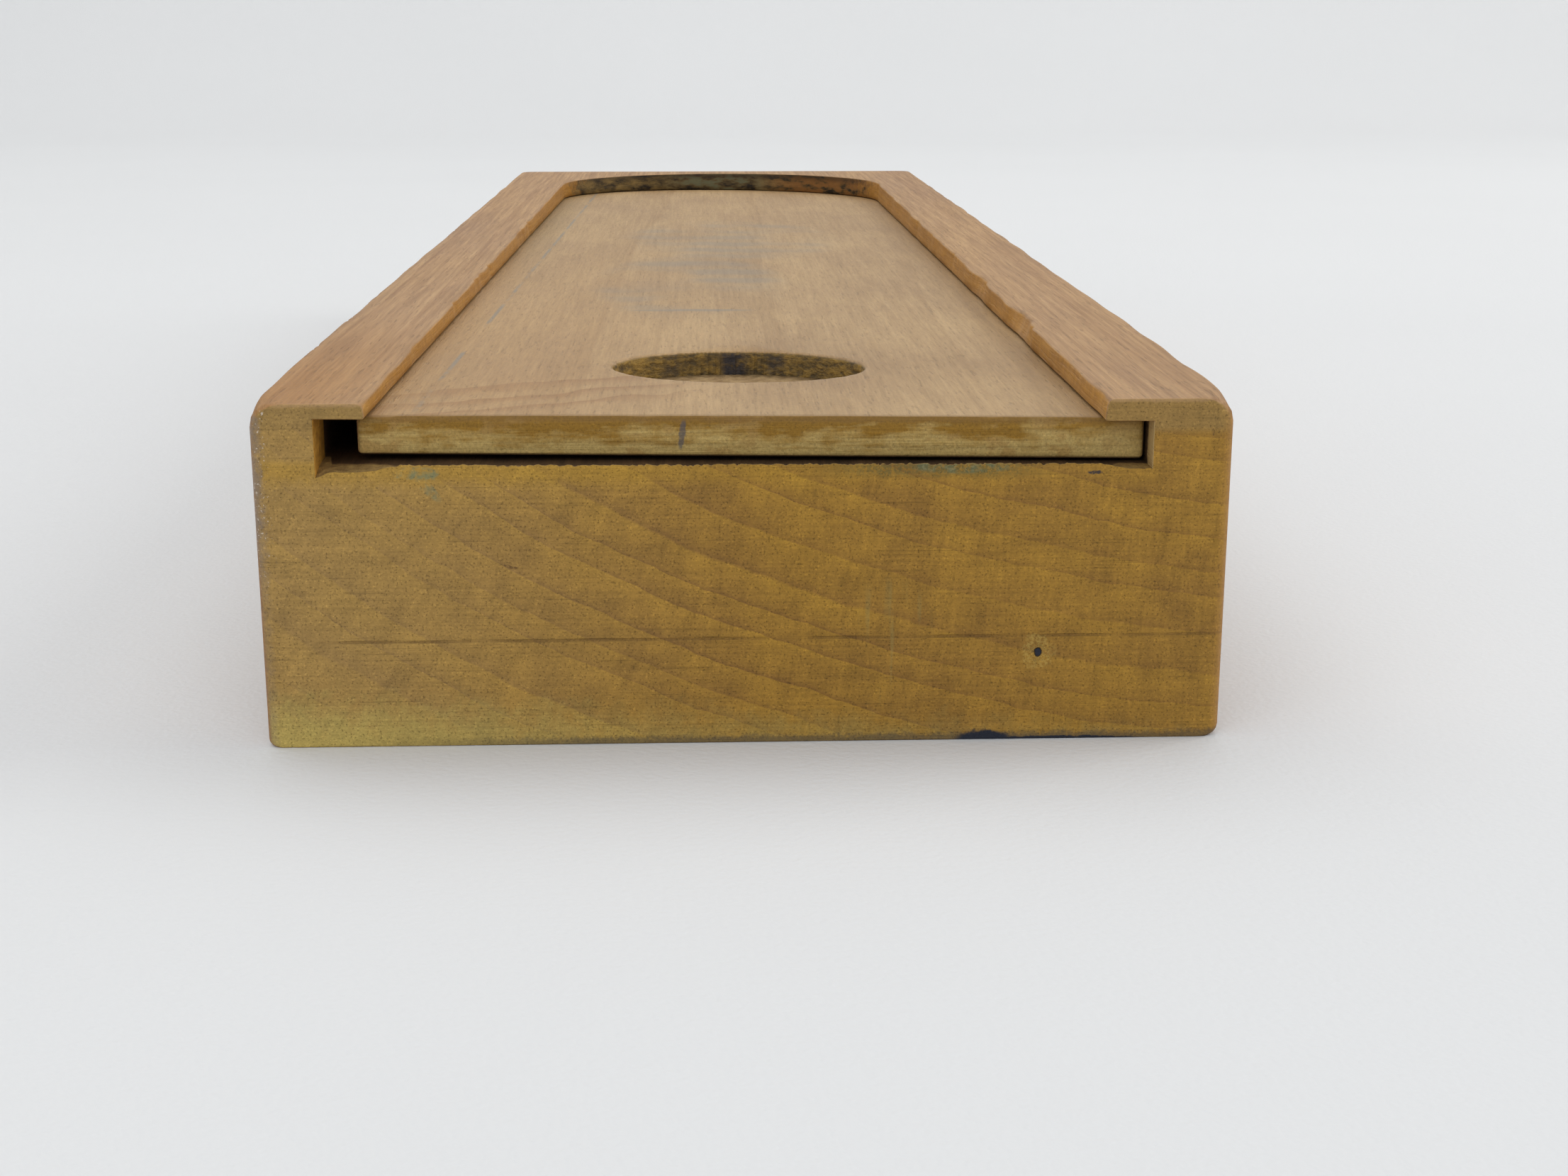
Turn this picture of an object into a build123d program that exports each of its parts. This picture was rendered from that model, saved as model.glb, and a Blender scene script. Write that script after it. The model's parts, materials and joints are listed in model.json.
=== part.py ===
from build123d import *
from math import atan2, degrees
import os

# A sharpening stone in its wooden case, in millimetres.
# +X runs across the case, +Y towards its closed round end, +Z up.
# The origin is the centre of the case's underside. The lid slides out along -Y.

# Case: one solid block
case_width = 57.0
case_length = 200.0
case_height = 20.6
corner_radius = 1.5
foot_radius = 0.7
top_radius = 0.4
front_y = -case_length / 2

# Lips: what is left above the slot, thin at the mouth and thicker at the round end
lip_at_mouth = 1.15
lip_at_end = 2.35
slot_pitch = -degrees(atan2(lip_at_end - lip_at_mouth, case_length))
slot_roll = 0.51
lip_plane = Plane(origin=(0, front_y, case_height - lip_at_mouth)).rotated((slot_pitch, slot_roll, 0))

# Undercut slot, as seen from above in the lip plane, measured from the mouth
slot_width = 48.3
slot_centre_x = -0.52
slot_height = 2.75
slot_arc_y = 173.5
mouth_overrun = 2.0

# Opening between the lips, slightly askew to the case
opening_left_mouth = -21.75
opening_left_end = -20.85
opening_right_mouth = 20.75
opening_right_end = 21.65
opening_arc_y = front_y + 173.8
opening_tip = (-0.6, front_y + 194.8)
opening_depth = 3.0

# Pocket for the stone
pocket_width = 41.8
pocket_front_y = front_y + 7.0
pocket_length = 166.0
pocket_floor = 4.1
pocket_corner = 1.2
pocket_top = 17.0

# Stone, six and a half inches by one and five eighths by seven sixteenths
stone_width = 41.3
stone_length = 165.1
stone_height = 11.1
stone_corner = 1.6
stone_edge = 0.6

# Lid, in the lip plane
lid_width = 46.05
lid_centre_x = 0.48
lid_thickness = 2.55
lid_setback = 2.0
lid_arc_y = 173.0
lid_top_gap = 0.06
lid_edge = 0.3

# Thumb recess in the lid
recess_width = 17.0
recess_length = 14.2
recess_y = 21.6
recess_depth = 1.6


with BuildPart() as case_body:
    # The block, with its edges eased
    with BuildSketch(Plane.XY):
        RectangleRounded(case_width, case_length, corner_radius)
    extrude(amount=case_height)
    fillet(case_body.faces().sort_by(Axis.Z)[0].edges(), foot_radius)
    fillet(case_body.faces().sort_by(Axis.Z)[-1].edges(), top_radius)
    # Opening between the lips: two straight sides and a round end
    with BuildSketch(Plane.XY.offset(case_height)):
        with BuildLine():
            side_left = Line(
                (opening_left_mouth, front_y - mouth_overrun),
                (opening_left_end, opening_arc_y),
            )
            side_right = Line(
                (opening_right_mouth, front_y - mouth_overrun),
                (opening_right_end, opening_arc_y),
            )
            ThreePointArc(side_left @ 1, opening_tip, side_right @ 1)
            Line(side_left @ 0, side_right @ 0)
        make_face()
    extrude(amount=-opening_depth, mode=Mode.SUBTRACT)
    # Undercut slot that the lid runs in
    with BuildSketch(lip_plane):
        with Locations((slot_centre_x, (slot_arc_y - mouth_overrun) / 2)):
            Rectangle(slot_width, slot_arc_y + mouth_overrun)
        with Locations((slot_centre_x, slot_arc_y)):
            Circle(slot_width / 2)
    extrude(amount=-slot_height, mode=Mode.SUBTRACT)
    # Pocket that beds the stone
    with BuildSketch(Plane.XY.offset(pocket_floor)):
        with Locations((0, pocket_front_y + pocket_length / 2)):
            RectangleRounded(pocket_width, pocket_length, pocket_corner)
    extrude(amount=pocket_top - pocket_floor, mode=Mode.SUBTRACT)

case_body.part.label = "case_body"


with BuildPart() as sliding_lid:
    # Flat tongue with a round inner end
    with BuildSketch(lip_plane.offset(-lid_top_gap)):
        with Locations((lid_centre_x, (lid_setback + lid_arc_y) / 2)):
            Rectangle(lid_width, lid_arc_y - lid_setback)
        with Locations((lid_centre_x, lid_arc_y)):
            Circle(lid_width / 2)
    extrude(amount=-lid_thickness)
    chamfer(sliding_lid.faces().sort_by(Axis.Z)[-1].edges(), lid_edge)
    chamfer(sliding_lid.faces().sort_by(Axis.Z)[0].edges(), lid_edge)
    # Flat-bottomed thumb recess near the mouth
    with BuildSketch(lip_plane.offset(-lid_top_gap)):
        with Locations((0, recess_y)):
            Ellipse(recess_width / 2, recess_length / 2)
    extrude(amount=-recess_depth, mode=Mode.SUBTRACT)

sliding_lid.part.label = "sliding_lid"


with BuildPart() as whetstone:
    # Bar of stone standing on the pocket floor, edges rubbed down
    with BuildSketch(Plane.XY.offset(pocket_floor)):
        with Locations((0, pocket_front_y + pocket_length / 2)):
            RectangleRounded(stone_width, stone_length, stone_corner)
    extrude(amount=stone_height)
    fillet(whetstone.faces().sort_by(Axis.Z)[-1].edges(), stone_edge)

whetstone.part.label = "whetstone"


os.makedirs("parts", exist_ok=True)
export_step(case_body.part, "parts/case_body.step")
export_step(sliding_lid.part, "parts/sliding_lid.step")
export_step(whetstone.part, "parts/whetstone.step")
print("slide axis", -lip_plane.y_dir)
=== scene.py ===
import json
import math
import bmesh
import bpy
import numpy as np
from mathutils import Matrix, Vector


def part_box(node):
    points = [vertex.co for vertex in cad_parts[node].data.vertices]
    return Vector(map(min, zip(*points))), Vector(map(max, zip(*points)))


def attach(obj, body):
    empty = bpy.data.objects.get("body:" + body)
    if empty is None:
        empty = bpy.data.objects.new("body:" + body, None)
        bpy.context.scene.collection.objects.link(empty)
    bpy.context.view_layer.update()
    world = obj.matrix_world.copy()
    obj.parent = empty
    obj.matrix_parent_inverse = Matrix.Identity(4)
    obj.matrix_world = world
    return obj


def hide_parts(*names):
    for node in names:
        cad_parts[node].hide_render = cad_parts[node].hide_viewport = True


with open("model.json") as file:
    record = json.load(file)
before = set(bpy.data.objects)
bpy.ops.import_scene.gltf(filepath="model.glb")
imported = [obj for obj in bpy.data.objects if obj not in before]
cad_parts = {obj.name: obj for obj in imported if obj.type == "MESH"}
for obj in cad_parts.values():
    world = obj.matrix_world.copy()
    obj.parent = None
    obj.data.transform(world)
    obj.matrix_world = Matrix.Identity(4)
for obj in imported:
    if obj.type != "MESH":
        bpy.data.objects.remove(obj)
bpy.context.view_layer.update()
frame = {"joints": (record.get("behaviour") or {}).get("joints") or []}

mm = 0.001
tiny = 1e-6
weldGrid = 2e4           # points closer than about 1 / this many millimetres are welded
low, high = [np.array(corner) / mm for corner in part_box("case_body")]
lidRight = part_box("sliding_lid")[1][0] / mm
stoneLow, stoneHigh = [np.array(corner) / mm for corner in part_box("whetstone")]
mouthY = low[1]          # the open end of the case
topZ = high[2]
slideAxis = np.array(frame["joints"][0]["axis"])
pitchSlope = -slideAxis[2] / slideAxis[1]     # how fast the slot sinks towards the round end


def ease(start, end, value):
    # smoothstep: 0 before start, 1 after end, 3t^2 - 2t^3 between them
    t = np.clip((value - start) / (end - start), 0.0, 1.0)
    return t * t * (3.0 - 2.0 * t)


def wander(along, seed, wave, count=7):
    # a sum of sines with random phases about one wave length: smooth noise of about -1 to 1
    rng = np.random.default_rng(seed)
    rate = rng.uniform(0.4, 2.3, count) * 2.0 * math.pi / wave
    phase = rng.uniform(0.0, 2.0 * math.pi, count)
    weight = rng.uniform(0.4, 1.0, count)
    waves = np.sin(np.multiply.outer(along, rate) + phase) * weight
    return waves.sum(-1) / (1.3 * math.sqrt((weight ** 2).sum()))


def nicks(along, seed, count, span, depth, width):
    # rounded bites at random places, each deep * (1 - t^2)^1.5; where two meet, the deeper one counts
    rng = np.random.default_rng(seed)
    place = rng.uniform(span[0], span[1], count)
    deep = depth * rng.uniform(0.25, 1.0, count) ** 1.5
    wide = width * rng.uniform(0.4, 1.3, count)
    t = np.abs(np.subtract.outer(along, place)) / wide
    return (deep * np.clip(1.0 - t ** 2, 0.0, None) ** 1.5).max(-1)


def setBack(radius, depth):
    # r - sqrt(r^2 - (r - d)^2): how far a rounded edge lies inside its square corner at a depth d
    gap = np.clip(radius - depth, 0.0, None)
    return radius - np.sqrt(np.maximum(radius ** 2 - gap ** 2, 0.0))


def blendPoints(start, end, shares):
    # straight lines from each start point to its end point, cut at the shares: (n, 3), (n, 3) -> (n, k, 3)
    shares = np.asarray(shares)[None, :, None]
    return start[:, None, :] * (1.0 - shares) + end[:, None, :] * shares


def stack(x, y, z):
    # three arrays that broadcast together, as points
    return np.stack(np.broadcast_arrays(x, y, z), -1).astype(float)


def between(start, end, shares):
    # rows of numbers from each start value to its end value, cut at the shares
    return np.outer(start, 1.0 - shares) + np.outer(end, shares)


def quarterTurn(count):
    # angles from 0 to a right angle
    return np.linspace(0.0, math.pi / 2.0, count)


def addObject(name, data):
    # a new object in the scene
    added = bpy.data.objects.new(name, data)
    bpy.context.scene.collection.objects.link(added)
    return added


def closedGrid(loops):
    # rings of points as the rows of a grid, each closed with its own first point
    grid = np.stack(loops)
    return np.concatenate([grid, grid[:, :1]], 1)


def gridFaces(rows, columns, first):
    # the four corners of each cell of a grid whose points are numbered row by row
    index = np.arange(rows * columns).reshape(rows, columns) + first
    cells = (index[:-1, :-1], index[1:, :-1], index[1:, 1:], index[:-1, 1:])
    return np.stack(cells, -1).reshape(-1, 4)


def solidFromGrids(name, grids, outlines=()):
    # grids of points and flat outlines in millimetres, welded where they meet and turned outwards
    points, faces, first = [], [], 0
    for grid in grids:
        points.append(grid.reshape(-1, 3))
        faces += gridFaces(grid.shape[0], grid.shape[1], first).tolist()
        first += grid.shape[0] * grid.shape[1]
    for outline in outlines:
        points.append(outline)
        faces.append(list(range(first, first + len(outline))))
        first += len(outline)
    points = np.concatenate(points)
    rounded = np.round(points * weldGrid).astype(np.int64)
    keep, same = np.unique(rounded, axis=0, return_index=True, return_inverse=True)[1:]
    same = same.reshape(-1)
    welded = []
    for face in faces:
        corners = same[face].tolist()
        ring = [c for i, c in enumerate(corners) if c != corners[i - 1]]
        if len(set(ring)) > 2:
            welded.append(ring)
    mesh = bpy.data.meshes.new(name)
    mesh.from_pydata((points[keep] * mm).tolist(), [], welded)
    cleaner = bmesh.new()
    cleaner.from_mesh(mesh)
    bmesh.ops.recalc_face_normals(cleaner, faces=cleaner.faces)
    openEdges = sum(1 for edge in cleaner.edges if len(edge.link_faces) != 2)
    cleaner.to_mesh(mesh)
    cleaner.free()
    mesh.shade_smooth()
    mesh.set_sharp_from_angle(angle=math.radians(48))
    piece = addObject(name, mesh)
    shading = piece.modifiers.new("flatShading", "WEIGHTED_NORMAL")
    shading.keep_sharp = True
    print(name, len(mesh.vertices), "points,", openEdges, "open edges")
    return piece


case = dict(
    lipAtMouth=1.15,          # wood above the slot at the open end
    roll=0.51,                # the slot leans to the right, degrees
    slotLeft=-24.67, slotRight=23.63, slotHeight=2.75,
    openHalf=21.25,           # half the width between the lips
    openCentreMouth=-0.5, openCentreEnd=0.4,
    arcDepth=173.8,           # from the mouth to the centre of the round end
    openReach=21.0, slotReach=23.85,
    pocketHalf=20.9, pocketFront=7.0, pocketEnd=173.0, pocketFloor=4.1,
    edgeRadius=0.85,          # upright corners at the mouth
    backRadius=1.5,           # upright corners at the back
    mouthRub=0.1,            # how much narrower the block is rubbed at the mouth
    mouthKnock=1.1,           # how much the top edges are knocked off at the mouth
    topRadius=0.38, footLeft=0.4, footRight=0.65, footLift=0.12,
    mouthRadius=0.14,         # edges round the open end
    ridgeLow=0.15, ridgeRise=0.14,      # torn fibres along the slot's floor, left and right
    lipRound=0.12,            # the lips' inner top edge
)
roofZ = topZ - case["lipAtMouth"]      # the slot's roof at the middle of the mouth
rollSlope = math.tan(math.radians(case["roll"]))
openDrift = (case["openCentreEnd"] - case["openCentreMouth"]) / case["arcDepth"]     # the opening runs askew


def lipUnder(x, y):
    # underside of the lips: a plane that sinks towards the round end and to the right
    sink = pitchSlope * (y - mouthY)
    return roofZ - sink - rollSlope * x


def slotFloor(x, y):
    # floor of the slot: along the mouth a low ridge of torn fibres, worn down towards the left end
    depth = y - mouthY
    ridge = case["ridgeLow"] + case["ridgeRise"] * ease(-14.0, 16.0, x)
    ridge = ridge + 0.015 * wander(x, 22, 0.5, 15) + 0.02 * wander(x, 23, 3.1)
    ridge = ridge - nicks(x, 21, 150, (-22.0, 22.0), 0.1, 0.16)
    ridge = ridge * ease(-21.6, -19.6, x) * (1.0 - ease(20.6, 22.4, x))
    worn = 0.28 * (1.0 - ease(-22.6, -19.5, x)) + 0.03 * (1.0 + wander(x, 24, 1.1))
    corner = 0.35 * (1.0 - ease(-24.6, -24.0, x)) * np.exp(-depth / 0.9)
    edge = ridge * (1.0 - ease(0.1, 0.55, depth)) - worn * np.exp(-depth / 1.6) - corner
    return lipUnder(x, y) - case["slotHeight"] + edge


def caseStations():
    # depths behind the mouth along one straight side, close together where edges are round
    turn = quarterTurn(8)
    rounds = [radius * (1.0 - np.cos(turn)) for radius in (case["mouthRadius"], 0.5, case["edgeRadius"])]
    runs = [
        np.linspace(1.2, case["pocketFront"], 13),
        np.linspace(case["pocketFront"], 67.0, 131),
        np.linspace(67.0, case["pocketEnd"], 130),
        np.array([case["arcDepth"]]),
    ]
    return np.unique(np.round(np.concatenate(rounds + runs), 4))


def lipWear(depth, side):
    # how far the lips' inner top edge is worn and chipped back, more on the right one
    if side < 0:
        wave = 0.05 + 0.05 * wander(depth, 3, 16.0)
        bites = nicks(depth, 4, 12, (2.0, 120.0), 0.22, 2.4)
    else:
        wave = 0.09 + 0.09 * wander(depth, 5, 22.0)
        bites = nicks(depth, 6, 12, (6.0, 88.0), 0.36, 6.0) + nicks(depth, 7, 16, (2.0, 130.0), 0.16, 1.6)
    return np.clip(wave, 0.0, None) + bites


def topWear(depth, side):
    # radius of the outer top edge: rubbed, dented, and knocked off at the mouth
    seed = 11 if side < 0 else 13
    rubbed = case["topRadius"] * (1.0 + 0.3 * wander(depth, seed, 25.0))
    dents = nicks(depth, seed + 1, 14, (1.0, 198.0), 0.22, 1.1)
    return rubbed + dents + case["mouthKnock"] * np.exp(-(depth / 2.6) ** 2)


def makeCase():
    # a profile carried along a U-shaped path: up one side, round the end, and back
    # at each station the profile runs under the case, up its side, over the lip, and into the slot
    depth = caseStations()
    arcY = mouthY + case["arcDepth"]
    half = (high[0] - low[0]) / 2.0
    reach = high[1] - arcY
    cornerAt = math.atan2(reach, half)
    turn = np.unique(np.concatenate([
        np.linspace(0.0, math.pi, 122)[1:-1],
        cornerAt + np.radians(np.linspace(-3.5, 3.5, 13)),
        math.pi - cornerAt + np.radians(np.linspace(-3.5, 3.5, 13)),
    ]))[::-1]
    n = len(depth)
    arcOnes = np.ones(len(turn))
    depths = np.concatenate([depth, case["arcDepth"] * arcOnes, depth[::-1]])
    side = np.concatenate([-np.ones(n), np.cos(turn), np.ones(n)])
    rise = np.concatenate([np.zeros(n), np.sin(turn), np.zeros(n)])
    y = mouthY + depths
    # where the ray from the middle meets the rounded outline of the block
    run = 1.0 / np.maximum(np.abs(side) / half, rise / reach)
    corner = case["backRadius"]
    along = np.abs(side) * (half - corner) + rise * (reach - corner)
    miss = (half - corner) ** 2 + (reach - corner) ** 2 - corner ** 2
    rounded = along + np.sqrt(np.maximum(along ** 2 - miss, 0.0))
    inCorner = (run * np.abs(side) > half - corner) & (run * rise > reach - corner)
    run = np.where(inCorner, rounded, run)
    run = run - setBack(case["edgeRadius"], depths) - case["mouthRub"] * np.exp(-depths / 12.0)

    leftWear, rightWear = topWear(depths, -1), topWear(depths, 1)
    backWear = case["topRadius"] * (1.0 + 0.3 * wander(side * 30.0, 15, 20.0))
    topRound = np.where(rise > 0, backWear, np.where(side < 0, leftWear, rightWear))
    foot = np.where(side < 0, case["footLeft"], case["footRight"])
    foot = foot + (case["footLeft"] - foot) * (1.0 - np.abs(side))
    chipped = np.where(side < 0, lipWear(depths, -1), lipWear(depths, 1))
    chipped = np.where(rise > 0, 0.06 + 0.05 * wander(side * 21.0, 17, 9.0), chipped)
    mouthBack = setBack(case["mouthRadius"], depths)

    openX = case["openCentreMouth"] + openDrift * depths + case["openHalf"] * side
    openY = y + case["openReach"] * rise
    slotMiddle = (case["slotLeft"] + case["slotRight"]) / 2.0
    slotHalf = (case["slotRight"] - case["slotLeft"]) / 2.0
    slotX = slotMiddle + (slotHalf + 0.4 * mouthBack) * side
    slotY = y + case["slotReach"] * rise
    pocketX = case["pocketHalf"] * side
    pocketY = y + case["pocketHalf"] * rise
    footZ = setBack(case["footLift"], depths)
    crownZ = topZ - mouthBack + 0.03 * wander(depths, 19, 60.0) - 0.035

    def outer(inset, z):
        return stack((run - inset) * side, y + (run - inset) * rise, z)

    def wallBelow(edge):
        # from an edge straight down to the pocket's floor
        sunk = edge.copy()
        sunk[:, 2] = case["pocketFloor"]
        return blendPoints(edge, sunk, (0.0, 0.5, 1.0))

    def opening(inset, z):
        return stack(openX + inset * side, openY + inset * rise, z)

    quarter = quarterTurn(5)
    middle = stack(0.0, y, footZ)
    profile = [blendPoints(middle, outer(foot, footZ), np.linspace(0.0, 1.0, 9)[:-1])]
    for a in quarter:
        profile.append(outer(foot * (1.0 - math.sin(a)), footZ + foot * (1.0 - math.cos(a)))[:, None])
    wallFrom, wallTo = outer(0.0, footZ + foot), outer(0.0, crownZ - topRound)
    profile.append(blendPoints(wallFrom, wallTo, np.linspace(0.0, 1.0, 12)[1:-1]))
    for a in quarter:
        inset = topRound * (1.0 - math.cos(a))
        profile.append(outer(inset, crownZ - topRound * (1.0 - math.sin(a)))[:, None])
    lipRound = case["lipRound"] + 0.5 * chipped + 0.3 * np.exp(-(depths / 1.2) ** 2) * (rise == 0)
    lipTop = opening(chipped + mouthBack + lipRound, crownZ)
    shares = 1.0 - np.linspace(1.0, 0.0, 12)[1:-1] ** 1.6
    profile.append(blendPoints(outer(topRound, crownZ), lipTop, shares))
    for a in quarter:
        inset = chipped + mouthBack + lipRound * (1.0 - math.sin(a))
        profile.append(opening(inset, crownZ - lipRound * (1.0 - math.cos(a)))[:, None])
    underZ = lipUnder(openX, openY) + mouthBack * 0.6
    wallTop = opening(chipped + mouthBack, crownZ - lipRound)
    wallFoot = opening(0.25 * chipped + mouthBack, underZ + 0.1)
    profile.append(blendPoints(wallTop, wallFoot, (0.35, 0.7, 1.0)))
    profile.append(opening(0.25 * chipped + mouthBack + 0.1, underZ)[:, None])
    shares = np.array([0.3, 0.65, 1.0])
    underX, underY = between(openX, slotX, shares), between(openY, slotY, shares)
    profile.append(stack(underX, underY, lipUnder(underX, underY) + mouthBack[:, None] * 0.6))
    slotTop = stack(slotX, slotY, lipUnder(slotX, slotY) + mouthBack * 0.6)
    slotFoot = stack(slotX, slotY, slotFloor(slotX, slotY))
    profile.append(blendPoints(slotTop, slotFoot, (0.33, 0.66, 1.0)))
    shares = np.linspace(0.0, 1.0, 11)[1:]
    floorX, floorY = between(slotX, pocketX, shares), between(slotY, pocketY, shares)
    profile.append(stack(floorX, floorY, slotFloor(floorX, floorY)))
    sweep = np.concatenate(profile, 1)

    # the sill in front of the pocket, and the pocket's front wall under it
    sill = depth <= case["pocketFront"] + tiny
    sillX = np.linspace(-case["pocketHalf"], case["pocketHalf"], 481)
    sillX, sillY = np.meshgrid(sillX, mouthY + depth[sill])
    sillGrid = stack(sillX, sillY, slotFloor(sillX, sillY))
    frontWall = wallBelow(sillGrid[-1])
    # the floor behind the pocket: a half disc of rays, and the pocket's end wall under its edge
    behind = depths >= case["pocketEnd"] - tiny
    rim = sweep[behind, -1]
    shares = np.linspace(0.0, 1.0, 9)
    discX, discY = between(rim[:, 0], 0.0 * rim[:, 0], shares), between(rim[:, 1], y[behind], shares)
    disc = stack(discX, discY, slotFloor(discX, discY))
    endWall = wallBelow(np.concatenate([disc[0], disc[-1][::-1][1:]]))
    # the pocket's long walls and its floor
    beside = depth >= case["pocketFront"] - tiny
    beside = beside & (depth <= case["pocketEnd"] + tiny)
    walls = [wallBelow(sweep[:n][beside, -1]), wallBelow(sweep[-n:][::-1][beside, -1])]
    floorEdge = np.concatenate([walls[0][:, -1], endWall[1:-1, -1],
                                walls[1][::-1, -1], frontWall[::-1, -1][1:-1]])
    # the end grain at the mouth, round the open slot
    face = np.concatenate([sweep[0], sillGrid[0][1:-1], sweep[-1][::-1][:-1]])
    grids = [sweep, sillGrid, frontWall, disc, endWall, *walls]
    return solidFromGrids("caseWood", grids, [face, floorEdge])


caseWood = makeCase()


lid = dict(
    width=46.05, centreX=0.48, thickness=2.55, setIn=2.0, arcDepth=173.0,
    thinner=0.0045,           # how much the lid thins towards the left, per millimetre
    gapAbove=0.06, crown=0.05, cornerRadius=0.35, edgeRadius=0.09, lowerRadius=0.28,
    recessX=0.0, recessDepth=21.6, recessHalfX=8.5, recessHalfY=7.1, recessDeep=1.6,
    underHub=98.0,            # where the loops under the lid close, from the mouth
)


def lidTop(x, y):
    # the lid's upper face: the lips' underside less the running gap, very slightly crowned
    across = (x - lid["centreX"]) / (lid["width"] / 2.0)
    return lipUnder(x, y) - lid["gapAbove"] - lid["crown"] * across ** 2


def lidUnder(x, y):
    # the lid's underside, parallel to its top but for a slight taper
    leftward = np.clip(lidRight - x, 0.0, None)
    return lipUnder(x, y) - lid["gapAbove"] - lid["thickness"] + lid["thinner"] * leftward


def lidOutline(inset):
    # the lid's plan, moved inwards by the inset: a straight front, two sides and a half round
    inset = np.asarray(inset)
    half = lid["width"] / 2.0
    corner = lid["cornerRadius"]
    sideY = np.linspace(lid["setIn"] + corner, lid["arcDepth"], 130)
    quarter = quarterTurn(5)
    turn = np.linspace(0.0, math.pi, 91)
    frontX = np.linspace(-half + corner, half - corner, 111)
    sine, cosine = np.sin(quarter[1:-1]), np.cos(quarter[1:-1])
    arcSine, arcCosine = np.sin(turn[1:-1]), np.cos(turn[1:-1])
    level, upright = 0.0 * frontX, 0.0 * sideY
    x = np.concatenate([frontX, half - corner + corner * sine, half + upright,
                        half * arcCosine, -half + upright, -half + corner - corner * cosine])
    y = np.concatenate([lid["setIn"] + level, lid["setIn"] + corner - corner * cosine, sideY,
                        lid["arcDepth"] + half * arcSine, sideY[::-1], lid["setIn"] + corner - corner * sine])
    outX = np.concatenate([level, sine, 1.0 + upright, arcCosine, upright - 1.0, -cosine])
    outY = np.concatenate([level - 1.0, -cosine, upright, arcSine, upright, -sine])
    return lid["centreX"] + x - inset * outX, mouthY + y - inset * outY


def makeLid():
    # closed loops from the middle of the recess, out over the lid, round its edge and in under it
    edgeX, edgeY = lidOutline(0.0)
    order = np.arange(len(edgeX))
    middleX, middleY = lid["recessX"], mouthY + lid["recessDepth"]
    bearing = np.arctan2(edgeY - middleY, edgeX - middleX)
    a, b = lid["recessHalfX"], lid["recessHalfY"]
    ragged = 0.07 * wander(bearing * 8.0, 31, 2.6) + 0.04 * wander(bearing * 8.0, 32, 0.7)
    rimR = a * b / np.hypot(b * np.cos(bearing), a * np.sin(bearing)) + ragged

    def ring(radius, drop):
        x = middleX + radius * np.cos(bearing)
        y = middleY + radius * np.sin(bearing)
        return stack(x, y, lidTop(x, y) - drop)

    loops = [ring(0.0 * rimR, lid["recessDeep"])]
    for share in (0.2, 0.4, 0.58, 0.74, 0.86, 0.94):
        rough = 0.05 * wander(bearing * 6.0 + 9.0 * share, 33, 1.7) * share
        loops.append(ring((rimR - 0.3) * share, lid["recessDeep"] + rough))
    for share in (0.0, 0.12, 0.35, 0.65, 0.9):
        bulge = math.sin(math.pi * min(1.0, share + 0.2))
        rough = 0.09 * wander(bearing * 8.0 + 5.0 * share, 34, 1.1) * bulge
        loops.append(ring(rimR - 0.28 + 0.2 * share + rough, lid["recessDeep"] * (1.0 - share) + 0.02))
    loops.append(ring(rimR + 0.02, 0.06))
    loops.append(ring(rimR + 0.12, 0.0))

    front = (edgeY < mouthY + lid["setIn"] + 0.6) * 1.0
    cutBack = 0.26 * (1.0 - ease(-20.6, -20.1, edgeX)) * front       # at the front edge's left end
    bites = nicks(edgeX, 35, 14, (-22.0, 23.0), 0.14, 0.9) + cutBack
    upper = lid["edgeRadius"] * (1.0 + 0.25 * wander(order * 0.5, 36, 9.0)) + bites * front
    flatX, flatY = lidOutline(upper)
    rimX = middleX + (rimR + 0.12) * np.cos(bearing)
    rimY = middleY + (rimR + 0.12) * np.sin(bearing)
    for share in (0.02, 0.05, 0.1, 0.18, 0.28, 0.4, 0.52, 0.64, 0.76, 0.86, 0.94, 1.0):
        x = rimX + (flatX - rimX) * share
        y = rimY + (flatY - rimY) * share
        loops.append(stack(x, y, lidTop(x, y)))
    quarter = quarterTurn(5)
    for turn in quarter[1:]:
        x, y = lidOutline(upper * (1.0 - math.sin(turn)))
        loops.append(stack(x, y, lidTop(x, y) - upper * (1.0 - math.cos(turn))))
    lower = lid["lowerRadius"]
    for share in (0.3, 0.6, 1.0):
        x, y = lidOutline(0.0)
        base = lidUnder(x, y) + lower
        start = lidTop(x, y) - upper
        loops.append(stack(x, y, start + (base - start) * share))
    for turn in quarter[1:]:
        x, y = lidOutline(lower * (1.0 - math.cos(turn)))
        base = lidUnder(x, y)
        loops.append(stack(x, y, base + lower * (1.0 - math.sin(turn))))
    outX, outY = lidOutline(lower)
    hubX, hubY = lid["centreX"], mouthY + lid["underHub"]
    for share in (0.3, 0.7, 1.0):
        x = outX + (hubX - outX) * share
        y = outY + (hubY - outY) * share
        loops.append(stack(x, y, lidUnder(x, y)))
    return solidFromGrids("lidWood", [closedGrid(loops)])


lidWood = makeLid()


stone = dict(
    cornerRadius=1.6, edgeRadius=0.7, underRadius=0.3,
    dish=0.28,                # how far the worked face is worn hollow
)


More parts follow.
